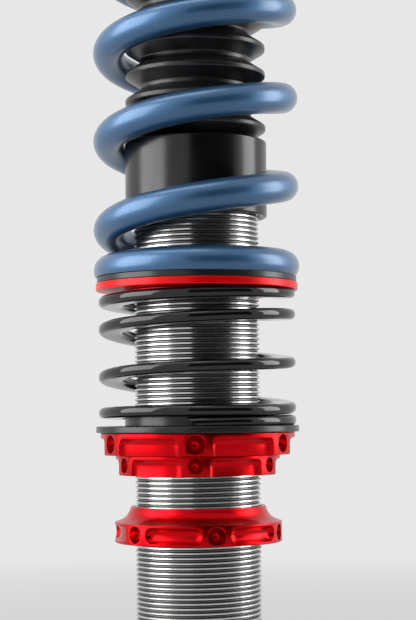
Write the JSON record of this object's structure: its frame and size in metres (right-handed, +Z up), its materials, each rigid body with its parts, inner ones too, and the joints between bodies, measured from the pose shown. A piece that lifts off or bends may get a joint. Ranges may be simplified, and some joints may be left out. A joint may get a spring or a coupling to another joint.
{
  "type": "coilover damper",
  "caption": "Height-adjustable coilover: stacked main and helper coil springs on a fully threaded damper body, with lock collars, dust bellows, lower eye and pivoting top mount.",
  "frame": {"origin": "centre of the lower eye's bore", "axes": "+Z up the damper's axis, +Y along the lower eye's bore"},
  "size_m": [0.1082, 0.1035, 0.5271],
  "materials": {
    "mount_steel": "satin black powder coat",
    "plain_steel": "zinc plated",
    "zinc_thread": "bright plated thread",
    "hard_chrome": "hard chrome, ground",
    "alloy": "machined",
    "red_anodised": "red anodised, satin",
    "black_metal": "gloss black",
    "black_spring": "gloss black powder coat",
    "blue_spring": "metallic blue powder coat",
    "black_plastic": "gloss",
    "rubber": "matt",
    "foam": "cellular polyurethane"
  },
  "bodies": {
    "lower_mount": {"lower_mount": "mount_steel", "bush_shell": "plain_steel", "bush_rubber": "rubber"},
    "eye_sleeve": {"eye_sleeve": "plain_steel"},
    "damper_body": {"threaded_body": "zinc_thread", "base_plug": "plain_steel", "seal_head": "alloy", "rod_seal": "rubber", "gland_nut": "plain_steel", "boot_collar": "black_plastic", "dust_boot": "rubber"},
    "floating_piston": {"floating_piston": "alloy", "floating_piston_ring": "rubber"},
    "lower_lock_ring": {"lower_lock_ring": "red_anodised"},
    "spring_seat": {"spring_seat": "black_metal", "helper_spring": "black_spring"},
    "perch_nut": {"perch_nut": "red_anodised"},
    "perch_lock_ring": {"perch_lock_ring": "red_anodised"},
    "divider": {"divider_ring": "red_anodised", "divider_washer": "black_plastic", "main_spring": "blue_spring"},
    "piston_rod": {"piston_rod": "hard_chrome", "piston": "alloy", "piston_band": "black_plastic", "valve_shims": "plain_steel", "piston_nut": "plain_steel", "bump_stop": "foam", "thrust_washer_upper": "plain_steel", "top_spacer": "plain_steel", "pillow_ball": "hard_chrome", "rod_nut": "plain_steel"},
    "upper_seat": {"upper_seat": "black_metal", "thrust_washer_lower": "plain_steel", "thrust_needles": "plain_steel", "thrust_cage": "plain_steel"},
    "top_mount": {"top_plate": "red_anodised", "bearing_race": "plain_steel", "retaining_ring": "plain_steel", "top_studs": "plain_steel"},
    "adjuster": {"adjuster_knob": "red_anodised", "adjuster_rod": "alloy"}
  },
  "joints": [
    {"name": "bush_twist", "type": "hinge", "parent": "lower_mount", "child": "eye_sleeve", "pos_m": [0, 0, 0], "axis": [0, 1, 0], "range_deg": [-15, 15], "stiffness_Nm_per_rad": 60},
    {"name": "body_height", "type": "slide", "parent": "lower_mount", "child": "damper_body", "axis": [0, 0, 1], "range_m": [-0.012, 0.008]},
    {"name": "lower_ring_travel", "type": "slide", "parent": "damper_body", "child": "lower_lock_ring", "axis": [0, 0, 1], "range_m": [-0.024, 0]},
    {"name": "perch_height", "type": "slide", "parent": "damper_body", "child": "spring_seat", "axis": [0, 0, 1], "range_m": [-0.008, 0]},
    {"name": "perch_turn", "type": "hinge", "parent": "spring_seat", "child": "perch_nut", "pos_m": [0, 0, 0.15785], "axis": [0, 0, 1], "range_deg": [-1440, 0]},
    {"name": "perch_lock_travel", "type": "slide", "parent": "perch_nut", "child": "perch_lock_ring", "axis": [0, 0, 1], "range_m": [-0.004, 0]},
    {"name": "damper_stroke", "type": "slide", "parent": "damper_body", "child": "piston_rod", "axis": [0, 0, -1], "range_m": [0, 0.095], "stiffness_N_per_m": 8000, "springref_m": -0.03, "deforming": ["main_spring", "helper_spring", "dust_boot"]},
    {"name": "divider_travel", "type": "slide", "parent": "spring_seat", "child": "divider", "axis": [0, 0, -1], "range_m": [0, 0.0301]},
    {"name": "gas_piston_travel", "type": "slide", "parent": "damper_body", "child": "floating_piston", "axis": [0, 0, -1], "range_m": [0, 0.0197]},
    {"name": "seat_swivel", "type": "hinge", "parent": "piston_rod", "child": "upper_seat", "pos_m": [0, 0, 0.4267], "axis": [0, 0, 1], "continuous": true},
    {"name": "top_mount_tilt", "type": "hinge", "parent": "piston_rod", "child": "top_mount", "pos_m": [0, 0, 0.45675], "axis": [1, 0, 0], "range_deg": [-8, 8]},
    {"name": "adjuster_turn", "type": "hinge", "parent": "piston_rod", "child": "adjuster", "pos_m": [0, 0, 0.491], "axis": [0, 0, 1], "range_deg": [0, 1080]}
  ],
  "couplings": [
    {"joint": "perch_height", "follows": "perch_turn", "m_per_rad": 0.00031831},
    {"joint": "divider_travel", "follows": "damper_stroke", "ratio": 0.31579},
    {"joint": "gas_piston_travel", "follows": "damper_stroke", "ratio": 0.20661}
  ]
}
